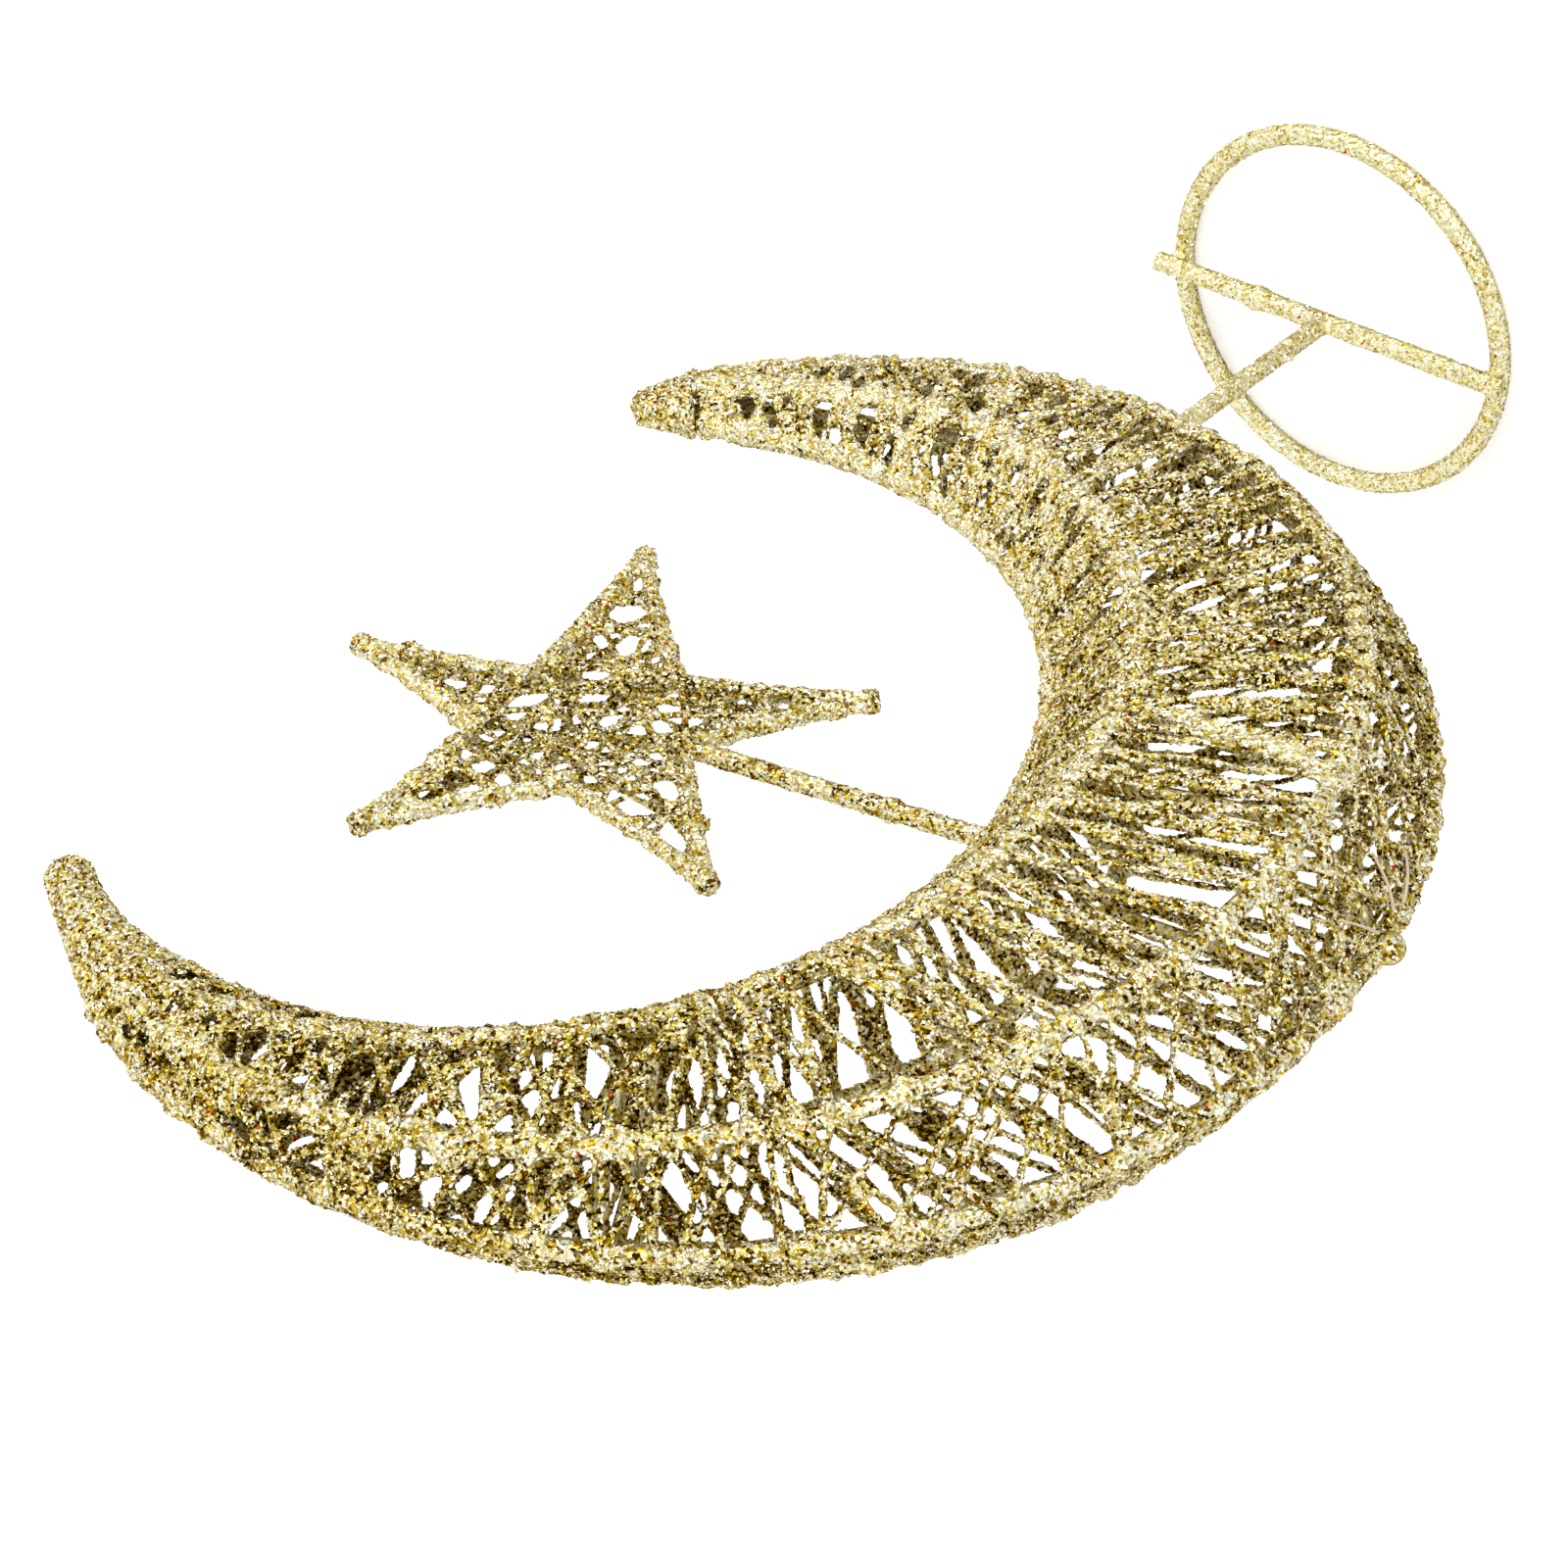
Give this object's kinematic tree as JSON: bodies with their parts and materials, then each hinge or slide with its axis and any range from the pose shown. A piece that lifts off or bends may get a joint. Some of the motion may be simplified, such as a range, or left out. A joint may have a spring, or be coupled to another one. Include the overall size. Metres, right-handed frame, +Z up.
{
  "type": "crescent and star table ornament",
  "caption": "Free-standing crescent moon of glitter thread wound over a bent-wire cage, with a wound star on a spoke in its bay and a ring foot.",
  "frame": {"origin": "middle of the foot ring on the table plane", "axes": "+Z up, +X from the crescent's belly towards its opening, +Y towards the back of the ornament"},
  "size_m": [0.2013, 0.0762, 0.2801],
  "materials": {
    "cage_wire": "gold glitter coat",
    "foot_wire": "pale gold glitter coat",
    "glitter_thread": "coarse gold glitter"
  },
  "bodies": {
    "root": {"foot_ring": "foot_wire", "foot_crossbar": "foot_wire", "stem": "foot_wire", "outer_rim": "cage_wire", "inner_rim": "cage_wire", "front_inner_ridge": "cage_wire", "back_inner_ridge": "cage_wire", "front_outer_ridge": "cage_wire", "back_outer_ridge": "cage_wire", "upper_rib": "cage_wire", "middle_rib": "cage_wire", "lower_rib": "cage_wire", "upper_horn_tip": "glitter_thread", "lower_horn_tip": "glitter_thread", "star_frame": "cage_wire", "star_spoke": "foot_wire", "upper_horn_winding": "glitter_thread", "upper_arm_winding": "glitter_thread", "belly_winding": "glitter_thread", "lower_arm_winding": "glitter_thread", "star_body_winding": "glitter_thread", "star_point_winding": "glitter_thread", "star_upper_winding": "glitter_thread", "star_lower_winding": "glitter_thread"}
  },
  "joints": []
}
